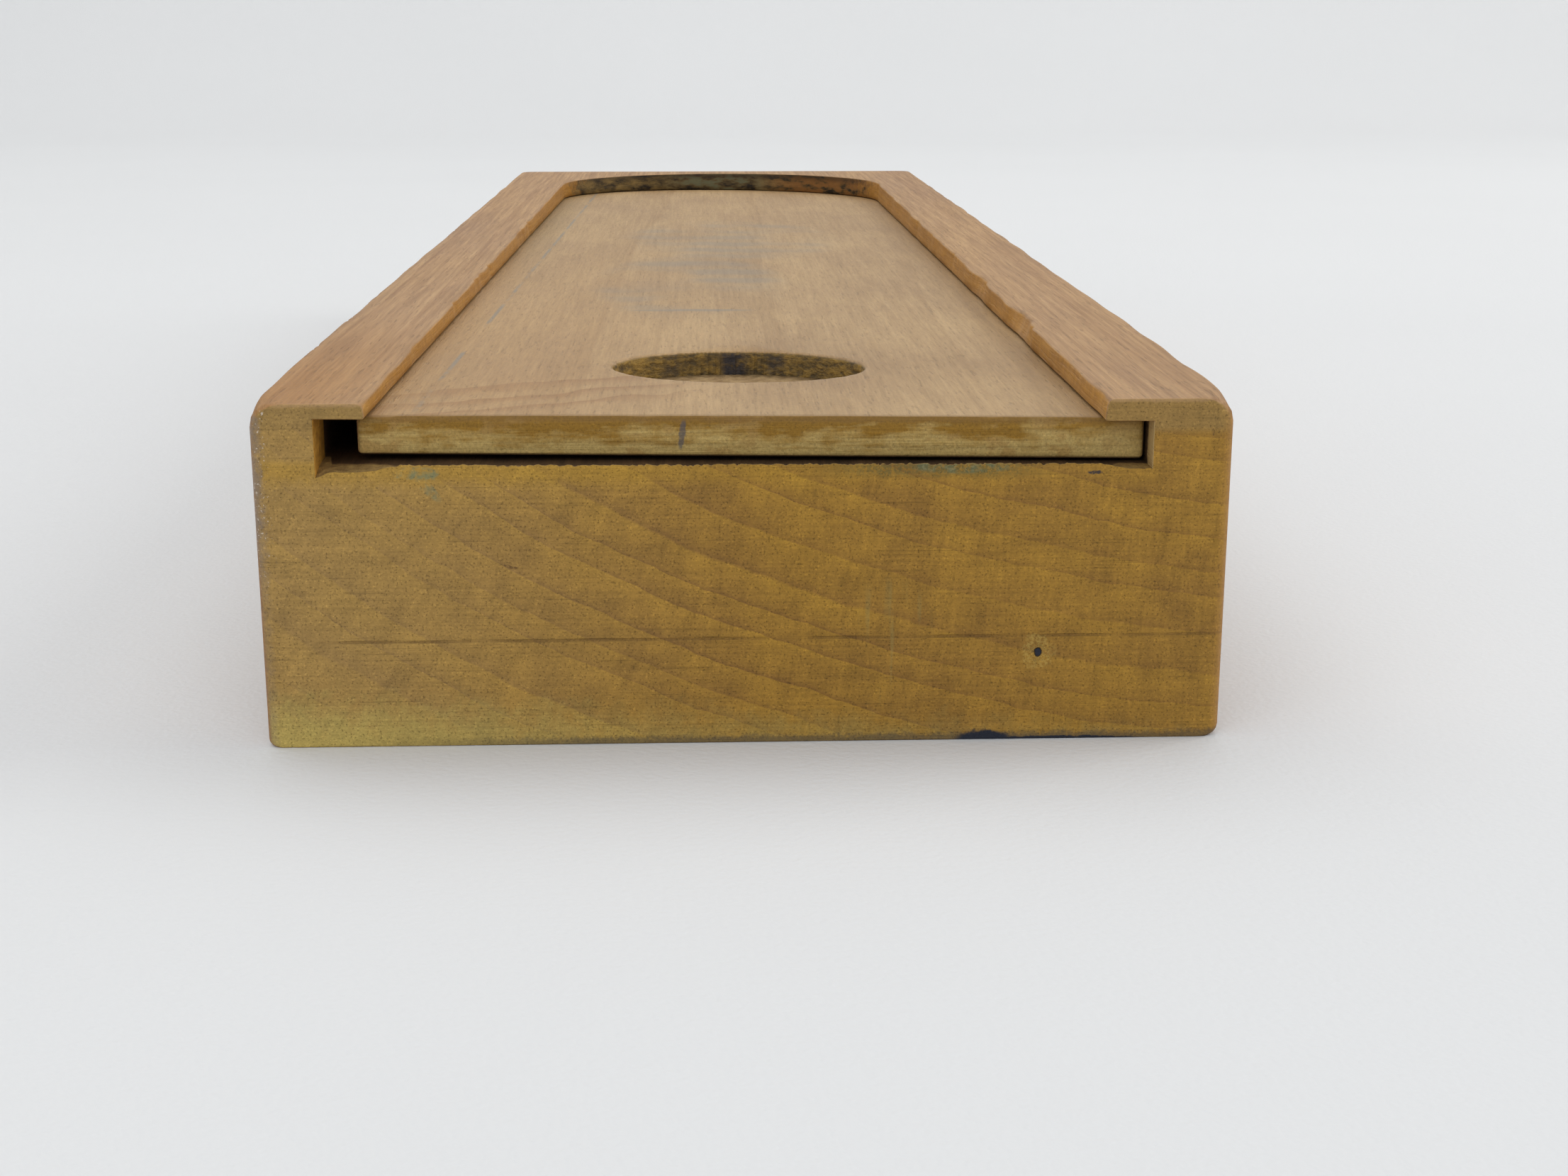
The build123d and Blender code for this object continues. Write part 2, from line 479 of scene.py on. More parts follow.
def makeStone():
    # closed loops from the middle of the worn top, out over the edge and in under it
    halfX = (stoneHigh[0] - stoneLow[0]) / 2.0
    halfY = (stoneHigh[1] - stoneLow[1]) / 2.0
    centre = (stoneHigh + stoneLow) / 2.0
    corner = stone["cornerRadius"]
    quarter = quarterTurn(7)
    sideY = np.linspace(-halfY + corner, halfY - corner, 70)[1:-1]
    endX = np.linspace(-halfX + corner, halfX - corner, 24)[1:-1]

    def outline(inset):
        # a rounded rectangle, moved inwards by the inset
        r = corner - inset
        sine, cosine = r * np.sin(quarter), r * np.cos(quarter)
        farX, farY = halfX - corner, halfY - corner
        level, upright = 0.0 * endX, 0.0 * sideY
        x = np.concatenate([farX + cosine, -endX, -farX - sine, inset - halfX + upright,
                            -farX - cosine, endX, farX + sine, halfX - inset + upright])
        y = np.concatenate([farY + sine, halfY - inset + level, farY + cosine, sideY[::-1],
                            -farY - sine, inset - halfY + level, -farY - cosine, sideY])
        return x, y

    radius, under = stone["edgeRadius"], stone["underRadius"]
    insideX, insideY = outline(radius)
    loops = []
    for share in np.sin(quarterTurn(14)):
        x, y = insideX * share, insideY * share
        hollow = (1.0 - (x / halfX) ** 2) * (1.0 - (y / halfY) ** 4)
        loops.append(stack(x, y, stoneHigh[2] - stone["dish"] * hollow))
    for turn in quarter[1:]:
        x, y = outline(radius * (1.0 - math.sin(turn)))
        loops.append(stack(x, y, stoneHigh[2] - radius * (1.0 - math.cos(turn))))
    x, y = outline(0.0)
    for share in (0.3, 0.6, 1.0):
        loops.append(stack(x, y, (stoneHigh[2] - radius) * (1.0 - share) + (stoneLow[2] + under) * share))
    x, y = outline(under)
    for share in (1.0, 0.5, 0.0):
        loops.append(stack(x * share, y * share, stoneLow[2]))
    grid = closedGrid(loops)
    grid[..., 0] += centre[0]
    grid[..., 1] += centre[1]
    return solidFromGrids("oilstoneBar", [grid])


oilstoneBar = makeStone()


class Wire:
    # one socket of a material's nodes; arithmetic on it adds Math nodes
    def __init__(self, tree, out=None):
        self.tree = tree
        self.out = out

    def make(self, kind, settings=None, sockets=None, give=0):
        # any node: its settings first, then the values or links of its sockets
        node = self.tree.nodes.new("ShaderNode" + kind)
        for name, value in (settings or {}).items():
            if name == "stops":
                ramp = node.color_ramp
                while len(ramp.elements) < len(value):
                    ramp.elements.new(0.5)
                for element, (place, grey) in zip(ramp.elements, value):
                    element.position = place
                    element.color = (grey, grey, grey, 1.0)
            else:
                setattr(node, name, value)
        for name, value in (sockets or {}).items():
            if isinstance(value, Wire):
                self.tree.links.new(value.out, node.inputs[name])
            else:
                node.inputs[name].default_value = value
        if isinstance(give, (list, tuple)):
            return [Wire(self.tree, node.outputs[g]) for g in give]
        return Wire(self.tree, node.outputs[give])

    def math(self, operation, *others):
        # any Math node, with this wire as its first value
        values = dict(enumerate((self, *others)))
        return self.make("Math", {"operation": operation}, values)

    def __add__(self, other):
        return self.math("ADD", other)

    __radd__ = __add__

    def __mul__(self, other):
        return self.math("MULTIPLY", other)

    __rmul__ = __mul__

    def __sub__(self, other):
        return self.math("SUBTRACT", other)

    def __rsub__(self, other):
        return self.make("Math", {"operation": "SUBTRACT"}, {0: other, 1: self})

    def __truediv__(self, other):
        return self.math("DIVIDE", other)

    def __pow__(self, other):
        return self.math("POWER", other)

    def __neg__(self):
        return self * -1.0

    def __abs__(self):
        return self.math("ABSOLUTE")

    def step(self, start, end):
        # 0 at start, 1 at end, eased between; start may be the larger
        if start > end:
            return 1.0 - self.step(end, start)
        return self.make("MapRange", {"interpolation_type": "SMOOTHSTEP"},
                         {"Value": self, "From Min": start, "From Max": end})

    def near(self, middle, width):
        # 1 at the middle value, easing to 0 at the width either side
        return abs(self - middle).step(width, width * 0.35)

    def split(self):
        # its x, y and z
        return self.make("SeparateXYZ", {}, {"Vector": self}, give=[0, 1, 2])

    def noise(self, stretch, detail=2.0, roughness=0.55, shift=0.0):
        # noise of about 0 to 1, with this many waves per unit: one number, or one for each axis
        stretch = stretch if isinstance(stretch, tuple) else (stretch,) * 3
        place = {"Vector": self, "Scale": stretch, "Location": (shift,) * 3}
        moved = self.make("Mapping", {}, place)
        look = {"Vector": moved, "Scale": 1.0, "Detail": detail, "Roughness": roughness}
        return self.make("TexNoise", {}, look)

    def ramp(self, stops):
        # greys from 0 to 1 at the stops, straight between them
        return self.make("ValToRGB", {"stops": stops}, {"Fac": self})

    def mix(self, first, second):
        # this wire is the factor between two colours
        blend = {0: self, 6: colour(first), 7: colour(second)}
        return self.make("Mix", {"data_type": "RGBA"}, blend, give=2)

    def shade(self, amount):
        # a colour made lighter or darker by a number
        return self.make("VectorMath", {"operation": "SCALE"}, {0: self, "Scale": amount})


def colour(value):
    # a wire, or three numbers with full alpha
    return value if isinstance(value, Wire) else (*value, 1.0)


def newFinish(name):
    # a material, its starting wire, the place in millimetres and the direction that the surface faces
    material = bpy.data.materials.new(name)
    material.use_nodes = True
    tree = material.node_tree
    tree.nodes.clear()
    start = Wire(tree)
    metres, normal = start.make("TexCoord", give=["Object", "Normal"])
    place = start.make("Mapping", {}, {"Vector": metres, "Scale": (1.0 / mm,) * 3})
    return material, start, place, normal


def closeFinish(start, base, roughness, height, bumpDepth, specular):
    # the last nodes: a bump from the height in millimetres, and the surface itself
    relief = {"Height": height, "Strength": 1.0, "Distance": bumpDepth * mm}
    normal = start.make("Bump", {}, relief)
    surface = start.make("BsdfPrincipled", {}, {
        "Base Color": base, "Roughness": roughness, "Normal": normal, "Specular IOR Level": specular})
    start.make("OutputMaterial", {}, {"Surface": surface}, give=[])


wood = dict(
    caseHeart=(38.0, 100.0),        # the tree's centre seen from the end, far above the case
    casePitch=2.05,                 # one year's growth
    lidHeart=(-30.0, -120.0), lidPitch=2.6,
    saw=[(0.0, 0.78), (0.12, 0.68), (0.5, 0.53), (0.8, 0.38), (0.92, 0.16), (0.955, 0.02), (1.0, 0.7)],
    inkBlue=(0.02, 0.023, 0.036), inkTeal=(0.12, 0.2, 0.13), inkFaded=(0.215, 0.215, 0.19),
    lineBrown=(0.12, 0.06, 0.02),
    # dark colours for old oil; inside the slot they also carry painted shade
    oilShadeLight=(0.115, 0.062, 0.026), oilShadeDark=(0.03, 0.018, 0.01),
    specular=0.22,
)

caseTone = dict(
    endLight=(0.43, 0.236, 0.031), endDark=(0.225, 0.111, 0.025), endDusty=(0.43, 0.28, 0.098),
    endOlive=(0.5, 0.375, 0.105), endGold=(0.47, 0.265, 0.025), endLip=(0.315, 0.195, 0.062),
    topLight=(0.49, 0.3, 0.145), topDark=(0.32, 0.168, 0.074), topOrange=(0.37, 0.17, 0.045),
    sideLight=(0.42, 0.215, 0.065), sideDark=(0.24, 0.105, 0.03),
    cornerOrange=(0.5, 0.255, 0.06), wornGrey=(0.24, 0.18, 0.13), wornPale=(0.66, 0.56, 0.45),
    amberLight=(0.56, 0.275, 0.045), amberDark=(0.3, 0.13, 0.02),
    stainLight=(0.23, 0.15, 0.05), stainDark=(0.022, 0.016, 0.01),
    stainGreen=(0.12, 0.135, 0.08), stainRust=(0.27, 0.11, 0.028),
    frayLight=(0.5, 0.33, 0.11), frayDark=(0.17, 0.1, 0.035), frayPaler=(0.62, 0.43, 0.19),
    wallLight=(0.72, 0.37, 0.06), wallDark=(0.26, 0.11, 0.018),
    # the last colour on the next line is painted shadow along the foot
    smudge=(0.3, 0.235, 0.075), fuzz=(0.07, 0.078, 0.03), paintedFootShadow=(0.06, 0.052, 0.046),
)

marks = dict(                       # places on the case's end, across and up
    sawLine=6.45,
    pinHole=(17.25, 5.44),
    fleck=(-13.7, 10.95), tick=(27.1, 18.6), dash=(20.3, 16.25),
    smudge=(8.4, 6.2),
    tealLeft=(-18.9, 16.5), tealDrip=(-18.4, 15.7), tealRight=(12.6, 16.7),
    footInk=(14.1, 0.0), footLine=(18.5, 0.0),
)


def growthRings(place, heart, pitch, bendy):
    # distance from the tree's centre, bent by noise and read as a saw: light past each edge, then darkening
    # the rays are noise drawn out along the lines from the centre
    x, y, z = place.split()
    across = x - heart[0]
    upward = z - heart[1]
    reach = (across * across + upward * upward) ** 0.5
    bend = (place.noise((0.05, 0.004, 0.05), 2.0) - 0.5) * bendy
    ripple = (place.noise((0.45, 0.02, 0.45), 2.0, shift=7.0) - 0.5) * 0.5
    radius = reach + bend + ripple
    uneven = {"W": radius, "Scale": 0.23, "Detail": 1.0}
    spread = place.make("TexNoise", {"noise_dimensions": "1D"}, uneven)
    count = radius / pitch + spread * 1.7
    each = place.make("TexWhiteNoise", {"noise_dimensions": "1D"}, {"W": count.math("FLOOR")})
    saw = count.math("FRACT").ramp(wood["saw"])
    rings = 0.5 + (saw - 0.5) * (0.45 + each * 0.75)
    arc = across.math("ARCTAN2", upward) * 90.0
    polar = place.make("CombineXYZ", {}, {"X": arc, "Y": reach, "Z": y})
    rays = polar.noise((2.6, 0.28, 0.06), 2.0, 0.6)
    return rings, rays


def spot(first, second, middle, size):
    # 1 inside an oval about a place on two axes, easing to 0 at its edge
    a = (first - middle[0]) / size[0]
    b = (second - middle[1]) / size[1]
    return (a * a + b * b).step(1.0, 0.45)


def either(first, second):
    # the greater of two masks
    return first.math("MAXIMUM", second)


def makeCaseFinish():
    # end grain on the faces across the grain, long grain on the others, then wear, oil and marks
    tone = caseTone
    material, start, place, normal = newFinish("caseWood")
    x, y, z = place.split()
    nx, ny, nz = normal.split()
    depth = y - mouthY
    front = (-ny).step(0.35, 0.8)
    endFace = abs(ny).step(0.45, 0.85)
    rings, rays = growthRings(place, wood["caseHeart"], wood["casePitch"], 1.8)
    grit = place.noise(5.0, 3.0, 0.7, shift=1.0)
    patch = place.noise((0.55, 0.2, 0.55), 3.0, 0.6, shift=2.0)
    cloud = place.noise((0.13, 0.02, 0.13), 3.0, 0.6, shift=11.0)
    ragged = place.noise(1.3, 3.0, 0.65, shift=17.0)
    tatter = ragged - 0.5
    grain = grit - 0.5

    # end grain: rings, rays, level saw marks, pores
    saw = place.noise((0.1, 0.3, 5.5), 4.0, 0.7, shift=5.0)
    sawLines = place.noise((0.16, 0.3, 8.0), 1.0, 0.5, shift=25.0).step(0.64, 0.74)
    speck = place.noise(8.0, 1.0, 0.5, shift=31.0)
    upright = place.noise((3.4, 0.3, 0.35), 2.0, 0.6, shift=27.0)
    endTone = 0.97 + (saw - 0.5) * 0.62 + grain * 0.8 + (rays - 0.5) * 0.38 + (patch - 0.5) * 0.42
    endTone = endTone + (upright - 0.5) * x.step(-12.0, 10.0) * 0.35
    endTone = endTone * (1.0 - sawLines * 0.22)
    endTone = endTone * (1.0 - speck.step(0.6, 0.7) * 0.34) * (1.0 + speck.step(0.38, 0.28) * 0.35)
    pick = (rings - 0.5) * (1.1 - x.step(0.0, 14.0) * 0.42) + 0.5
    end = (pick + (cloud - 0.5) * 0.7 + (patch - 0.5) * 0.6).mix(tone["endDark"], tone["endLight"])
    end = (x.step(4.0, -27.0) * 0.58).mix(end, tone["endDusty"])
    lowBand = (z + tatter * 3.0 + (patch - 0.5) * 3.0 + (x + 28.0) * 0.05).step(4.2, 0.6)
    end = (lowBand * (0.45 + x.step(0.0, -27.0) * 0.45)).mix(end, tone["endOlive"])
    slotGap = (roofZ - case["slotHeight"]) - x * rollSlope - z    # below the slot's floor
    gold = front * (slotGap + tatter * 1.2).step(1.5, 0.3) * slotGap.step(-0.6, 0.0) * x.step(25.0, 23.0)
    end = (gold * (0.15 + x.step(8.0, -12.0) * 0.3)).mix(end, tone["endGold"])
    end = (slotGap.step(-1.9, -2.5) * front * 0.75).mix(end, tone["endLip"])
    end = end.shade(endTone)

    # long grain: fibres, pores and streaks drawn out along the case
    fibre = place.noise((3.0, 0.07, 3.0), 3.0, 0.62)
    fine = place.noise((8.0, 0.3, 8.0), 2.0, 0.6, shift=3.0)
    pores = place.noise((6.0, 0.45, 6.0), 1.0, 0.5, shift=13.0).step(0.62, 0.72)
    longTone = 1.0 + (fibre - 0.5) * 0.5 + (fine - 0.5) * 0.32 + grain * 0.12
    longTone = longTone + grain * depth.step(26.0, 0.0) * 0.5
    longTone = longTone * (1.0 - pores * 0.2)
    pick = rings * 0.55 + (fibre - 0.5) * 1.3 + (cloud - 0.5) * 0.9 + 0.32
    top = pick.mix(tone["topDark"], tone["topLight"])
    top = (x.step(-20.0, -26.0) * depth.step(45.0, 2.0) * 0.6).mix(top, tone["topOrange"])
    side = pick.mix(tone["sideDark"], tone["sideLight"])
    beside = abs(nx).step(0.45, 0.85) * abs(x).step(26.0, 27.0)
    under = nz.step(-0.5, -0.85)
    long = either(beside, under * 0.6).mix(top, side).shade(longTone)
    base = endFace.mix(long, end)

    # rubbed upright corners: grey with pale flecks on the left, orange on the right
    fromLeft = (x - low[0]) + depth
    leftCorner = (fromLeft + tatter * 1.1).step(1.0, 0.5) * (0.35 + z.step(9.0, 14.0) * 0.65)
    rightCorner = ((high[0] - x) + depth + tatter * 0.6).step(0.9, 0.5)
    topCorner = ((topZ - z) + depth + tatter * 0.25).step(0.32, 0.12)
    base = (leftCorner * 0.75).mix(base, tone["wornGrey"])
    flecks = place.noise(5.5, 2.0, 0.6, shift=71.0).step(0.63, 0.68) * z.step(8.0, 13.0)
    flecks = flecks * (fromLeft + (patch - 0.5) * 1.2).step(1.5, 0.8) * 0.8
    base = flecks.mix(base, tone["wornPale"])
    base = (rightCorner * (0.25 + ragged.step(0.35, 0.65) * 0.35)).mix(base, tone["cornerOrange"])
    base = (topCorner * 0.5).mix(base, tone["topLight"])

    # the wall of the opening: amber with old oil along the lips, nearly black round the end
    past = (depth - case["arcDepth"]).math("MAXIMUM", 0.0)
    sideways = x - (depth * openDrift + case["openCentreMouth"])
    fromMiddle = (sideways * sideways + past * past) ** 0.5
    aboveSlot = z - roofZ + depth * pitchSlope + x * rollSlope
    wall = (fromMiddle - case["openHalf"]).step(1.0, 0.5) * aboveSlot.step(-0.15, 0.05)
    wall = wall * nz.step(0.85, 0.4) * depth.step(0.05, 0.3)
    amber = (fibre * 1.4 + tatter * 1.2 - 0.05).mix(tone["amberDark"], tone["amberLight"])
    amber = (aboveSlot.step(0.55, 0.0) * 0.65).mix(amber, tone["amberDark"])
    mottle = place.noise((0.35, 0.35, 1.0), 3.0, 0.65, shift=41.0)
    mottle = (mottle - 0.5) * 3.4 + 0.5
    stained = mottle.mix(tone["stainDark"], tone["stainLight"])
    stained = (x.near(0.0, 9.0) * mottle.step(0.35, 0.8) * 0.75).mix(stained, tone["stainGreen"])
    stained = (x.step(5.0, 12.0) * mottle.step(0.1, 0.7) * 0.7).mix(stained, tone["stainRust"])
    # darker towards the foot of the wall round the end, just above the lid
    stained = (aboveSlot.step(2.1, 1.3) * 0.6 + 0.4).mix(wood["oilShadeDark"], stained)
    amber = (depth + tatter * 14.0).step(176.0, 184.0).mix(amber, stained)
    base = wall.mix(base, amber)

    # inside the slot and the pocket: dark with oil and with painted shade a little way in from the mouth
    # painted shade: the dark starts deeper on the slot's left wall beside the lid's edge, and sooner on the
    # floor under the lid
    inward = depth - x.step(-23.9, -24.4) * 1.9 + tatter * 0.7
    inward = inward + x.step(-21.8, -19.6) * x.step(22.0, 21.0) * 1.05
    inSlot = aboveSlot.step(0.02, -0.08) * (fromMiddle - 24.9).step(0.0, -0.25) * z.step(3.7, 4.0)
    slotMouth = inSlot * inward.step(1.9, 1.4) * (1.0 - endFace)
    frayed = (ragged * 1.6 + grit * 0.8 - 0.9).mix(tone["frayDark"], tone["frayLight"])
    # paler on the right wall of the slot's mouth
    frayed = (nx.step(-0.5, -0.8) * 0.75).mix(frayed, tone["frayPaler"])
    leftWall = (ragged * 2.0 - 0.45).mix(tone["wallDark"], tone["wallLight"])
    base = slotMouth.mix(base, nx.step(0.5, 0.8).mix(frayed, leftWall))
    # old oil with painted shade over it, further in than the lit strip at the mouth
    oilAndShade = (patch * 1.5 + fibre * 0.8 - 0.7).mix(wood["oilShadeDark"], wood["oilShadeLight"])
    base = (inSlot * inward.step(1.3, 1.75)).mix(base, oilAndShade)

    # marks on the end: a broken saw line and a pin hole with torn grain round it
    broken = place.noise((0.22, 0.2, 0.2), 2.0, 0.6, shift=51.0)
    line = (z - marks["sawLine"] + (x * 0.9).math("SINE") * 0.015).near(0.0, 0.12)
    line = line * broken.step(0.34, 0.62) * front * grit.step(0.3, 0.52)
    base = (line * 0.5).mix(base, wood["lineBrown"])
    hole = spot(x + (patch - 0.5) * 2.0, z + tatter * 1.6, marks["pinHole"], (1.1, 1.2)) * front
    base = (hole * grit.step(0.4, 0.6) * 0.35).mix(base, tone["endOlive"])
    crack = spot(x + tatter * 0.9, z + grain * 1.3, marks["pinHole"], (0.55, 0.6)) * front
    base = (crack * grit.step(0.52, 0.62) * 0.8).mix(base, wood["lineBrown"])
    pin = spot(x + grain * 0.25, z + tatter * 0.3, marks["pinHole"], (0.24, 0.3)) * front
    base = pin.mix(base, wood["inkBlue"])

    # small stains: a fleck and a tick, an olive smudge, teal beside the slot
    fleck = spot(x, z + tatter * 0.5, marks["fleck"], (0.5, 0.1))
    fleck = either(fleck, spot(x + tatter * 0.4, z, marks["tick"], (0.09, 0.26)))
    base = (fleck * front * grit.step(0.34, 0.54) * 0.8).mix(base, wood["lineBrown"])
    smudge = place.noise((1.5, 0.2, 0.12), 2.0, shift=61.0).step(0.5, 0.62)
    smudge = smudge * spot(x, z, marks["smudge"], (3.0, 4.2)) * front
    base = (smudge * 0.35).mix(base, tone["smudge"])
    dripX, dripZ = marks["tealDrip"]
    drip = spot(x + z * 0.8, z, (dripX + dripZ * 0.8, dripZ), (0.5, 1.0))
    teal = spot(x, z + tatter * 0.8, marks["tealLeft"], (1.5, 0.45))
    teal = either(either(teal, spot(x, z, marks["tealRight"], (3.4, 0.5))), drip * 0.7)
    base = (teal * ragged.step(0.4, 0.6) * front * 0.6).mix(base, wood["inkTeal"])

    # dark fuzz under the lid, painted shadow and ink along the foot
    fuzz = (slotGap + tatter * 1.1).step(0.75, 0.15) * slotGap.step(-0.5, -0.1)
    fuzz = fuzz * front * x.near(11.0, 8.0) * grit.step(0.38, 0.56)
    base = (fuzz * 0.6).mix(base, tone["fuzz"])
    facing = (-ny).step(0.05, 0.3)
    # painted shadow: a dark fuzzy line where the foot meets the floor, stronger towards the right
    paintedFootShadow = (z + tatter * 0.7 + grain * 0.5).step(0.62, 0.22) * facing * x.step(-24.0, -8.0)
    base = (paintedFootShadow * 0.6).mix(base, tone["paintedFootShadow"])
    dash = spot(x, z + tatter * 0.6, marks["dash"], (0.5, 0.13)) * front * grit.step(0.36, 0.54) * 0.9
    ink = spot(x, z + tatter * 0.7, marks["footInk"], (1.9, 0.72))
    ink = either(ink, spot(x, z + tatter * 0.3, marks["footLine"], (6.0, 0.22)))
    base = (ink * facing + dash).mix(base, wood["inkBlue"])

    acrossRelief = saw * 0.05 + grit * 0.035 - speck.step(0.62, 0.72) * 0.02
    alongRelief = fibre * 0.05 + fine * 0.03 - pores * 0.02
    relief = endFace * acrossRelief + (1.0 - endFace) * alongRelief - line * 0.06 - pin * 0.5 - crack * 0.03
    roughness = 0.6 + (cloud - 0.5) * 0.25 + grain * 0.2 - wall * 0.1 - leftCorner * z.step(9.0, 14.0) * 0.18
    closeFinish(start, base, roughness, relief, 1.0, wood["specular"])
    return material


caseWood.data.materials.append(makeCaseFinish())
print("case finish")


lidTone = dict(
    middle=-0.1,              # half way between the lips
    faceLight=(0.49, 0.325, 0.162), faceDark=(0.35, 0.212, 0.094), faceWarm=(0.47, 0.275, 0.115),
    flame=(0.29, 0.15, 0.06), besideLip=(0.33, 0.19, 0.066), faceOlive=(0.27, 0.2, 0.08),
    endLight=(0.51, 0.356, 0.122), endDark=(0.29, 0.152, 0.019), endBlotch=(0.33, 0.18, 0.045),
    endPale=(0.56, 0.4, 0.14), endMoss=(0.22, 0.215, 0.115), stroke=(0.07, 0.075, 0.095),
    wallLight=(0.4, 0.24, 0.055), wallDark=(0.105, 0.07, 0.03),
    soot=(0.035, 0.033, 0.04), sootBrown=(0.045, 0.036, 0.026),
    bottomLight=(0.42, 0.28, 0.13), bottomDark=(0.22, 0.13, 0.052), bottomRim=(0.12, 0.075, 0.028),
    rim=(0.22, 0.125, 0.045), under=(0.2, 0.115, 0.05),
    ruledLine=19.4,           # how far left of the middle the ruled line starts
    rowPitch=7.2,             # faded rows of ink
)


def makeLidFinish():
    # long grain on the face, streaked end grain at the front, a sooty thumb recess
    tone = lidTone
    material, start, place, normal = newFinish("lidWood")
    x, y, z = place.split()
    ny, nz = normal.split()[1:]
    depth = y - mouthY
    endFace = abs(ny).step(0.45, 0.85)
    rings = growthRings(place, wood["lidHeart"], wood["lidPitch"], 5.0)[0]
    grit = place.noise(5.0, 3.0, 0.7, shift=101.0)
    cloud = place.noise((0.1, 0.045, 0.1), 4.0, 0.6, shift=121.0)
    ragged = place.noise(1.2, 3.0, 0.65, shift=117.0)
    fibre = place.noise((2.4, 0.06, 2.4), 3.0, 0.62, shift=104.0)
    fine = place.noise((7.0, 0.35, 7.0), 2.0, 0.6, shift=108.0)
    pores = place.noise((5.0, 0.5, 5.0), 1.0, 0.5, shift=113.0).step(0.62, 0.72)
    grain = grit - 0.5
    tatter = ragged - 0.5

    # the face: pale and pinkish, with a few brown flames at the front
    longTone = 1.0 + (fibre - 0.5) * 0.26 + (fine - 0.5) * 0.42 + grain * 0.62
    longTone = longTone * (1.0 - pores * 0.16)
    pick = rings * 0.5 + (cloud - 0.5) * 2.2 + (fibre - 0.5) * 0.8 + 0.28
    face = pick.mix(tone["faceDark"], tone["faceLight"])
    flame = place.noise(0.16, 2.0, 0.5, shift=133.0)
    drawn = depth - x * 0.55 - 17.0 + (flame - 0.5) * 7.0
    flames = (drawn / 4.6).math("FRACT").step(0.25, 0.95) * x.step(-1.0, -9.0)
    flames = flames * drawn.step(8.5, 4.0) * drawn.step(-9.0, -4.0)
    face = (flames * 0.85).mix(face, tone["flame"])
    nearLip = abs(x - tone["middle"]).step(17.0, 21.5)
    face = (nearLip * 0.5).mix(face, tone["besideLip"])
    face = (x.step(-16.0, -21.0) * depth.step(60.0, 130.0) * 0.35).mix(face, tone["faceOlive"])
    face = (x.step(2.0, -16.0) * depth.step(150.0, 20.0) * 0.4).mix(face, tone["faceWarm"])
    face = face.shade(longTone)

    # old ink: a ruled line beside the left lip, and faded rows that say nothing
    broken = place.noise((0.3, 0.12, 0.3), 3.0, 0.7, shift=141.0).step(0.36, 0.58)
    ruled = (x + tone["ruledLine"] - depth * 0.013).near(0.0, 0.22) * broken
    drift = place.noise((0.16, 0.05, 0.16), 2.0, 0.5, shift=157.0)
    rows = ((depth + (drift - 0.5) * 5.0) / tone["rowPitch"] + 0.15).math("FRACT").near(0.5, 0.42)
    worn = place.noise((0.09, 0.05, 0.09), 2.0, 0.5, shift=151.0)
    block = either(spot(x, depth, (-3.4, 72.0), (9.5, 28.0)), spot(x, depth, (1.0, 116.0), (13.0, 26.0)))
    stamp = block * (rows * 0.6 + 0.4) * worn.step(0.36, 0.62) * (0.75 + fine * 0.5)
    bar = spot(x, depth + (worn - 0.5) * 3.0, (-3.3, 52.0), (5.9, 0.8)) * worn.step(0.26, 0.44)
    ink = either(either(ruled * 0.62, stamp * 0.4), bar * 0.5) * nz.step(0.6, 0.9)
    face = ink.mix(face, wood["inkFaded"])

    # the end: khaki below, browner above, streaked level
    streak = place.noise((0.22, 0.2, 1.5), 3.0, 0.6, shift=161.0)
    level = place.noise((0.1, 0.2, 6.0), 3.0, 0.65, shift=165.0)
    blotch = place.noise((0.55, 0.2, 0.8), 3.0, 0.6, shift=167.0)
    speck = place.noise(8.0, 1.0, 0.5, shift=169.0)
    belowTop = (roofZ - lid["gapAbove"]) - x * rollSlope - z
    pick = belowTop * 0.75 + (streak - 0.5) * 3.0 + (blotch - 0.5) * 2.6 - 0.5
    end = pick.mix(tone["endDark"], tone["endLight"])
    end = (blotch.step(0.54, 0.64) * 0.5).mix(end, tone["endBlotch"])
    end = (x.step(18.5, 21.0) * belowTop.step(0.3, 1.0) * 0.35).mix(end, tone["endPale"])
    end = (x.step(-22.2, -22.7) * 0.7).mix(end, tone["endMoss"])
    endTone = 0.98 + (level - 0.5) * 0.65 + grain * 1.0
    end = end.shade(endTone - speck.step(0.6, 0.7) * 0.26 + speck.step(0.38, 0.28) * 0.25)
    stroke = spot(x + belowTop * 0.12 + grain * 0.3, z, (-3.55, 18.3), (0.22, 1.0)) * ragged.step(0.3, 0.5)
    end = (stroke * 0.7).mix(end, tone["stroke"])
    base = endFace.mix(face, end)

